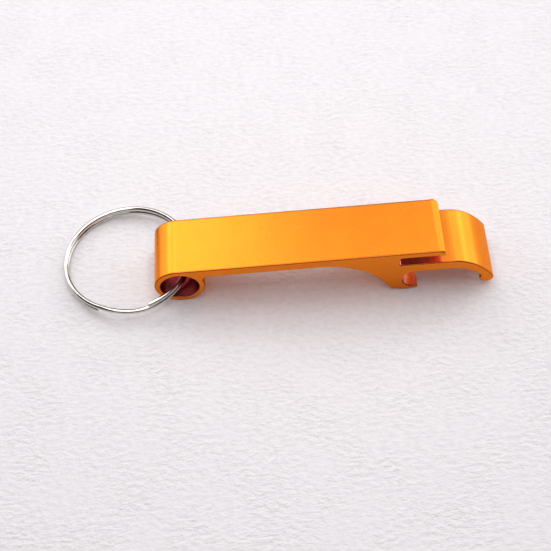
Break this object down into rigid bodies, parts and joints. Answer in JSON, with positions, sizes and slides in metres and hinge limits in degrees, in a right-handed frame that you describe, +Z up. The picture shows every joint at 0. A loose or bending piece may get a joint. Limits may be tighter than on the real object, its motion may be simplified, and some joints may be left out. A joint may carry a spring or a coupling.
{
  "type": "keychain bottle opener",
  "caption": "Flat anodised aluminium bar opener with cap claw, can-tab slot, round tube end and a steel split ring through it.",
  "frame": {"origin": "middle of the bottom of the whole part, lying on a table as it rests", "axes": "+X from the ring end to the hook, +Y across the width away from the viewer, +Z up"},
  "size_m": [0.0865, 0.0262, 0.013],
  "materials": {
    "anodised_aluminium": "satin orange-gold anodised, tumbled edges",
    "nickel_plated_steel": "bright nickel-plated spring steel wire"
  },
  "bodies": {
    "opener": {"opener_body": "anodised_aluminium"},
    "ring": {"split_ring": "nickel_plated_steel"}
  },
  "joints": [
    {"name": "ring_swing", "type": "hinge", "parent": "opener", "child": "ring", "pos_m": [-0.01945, -0.00271, 0.005], "axis": [0, 1, 0], "range_deg": [-177, 167]}
  ]
}
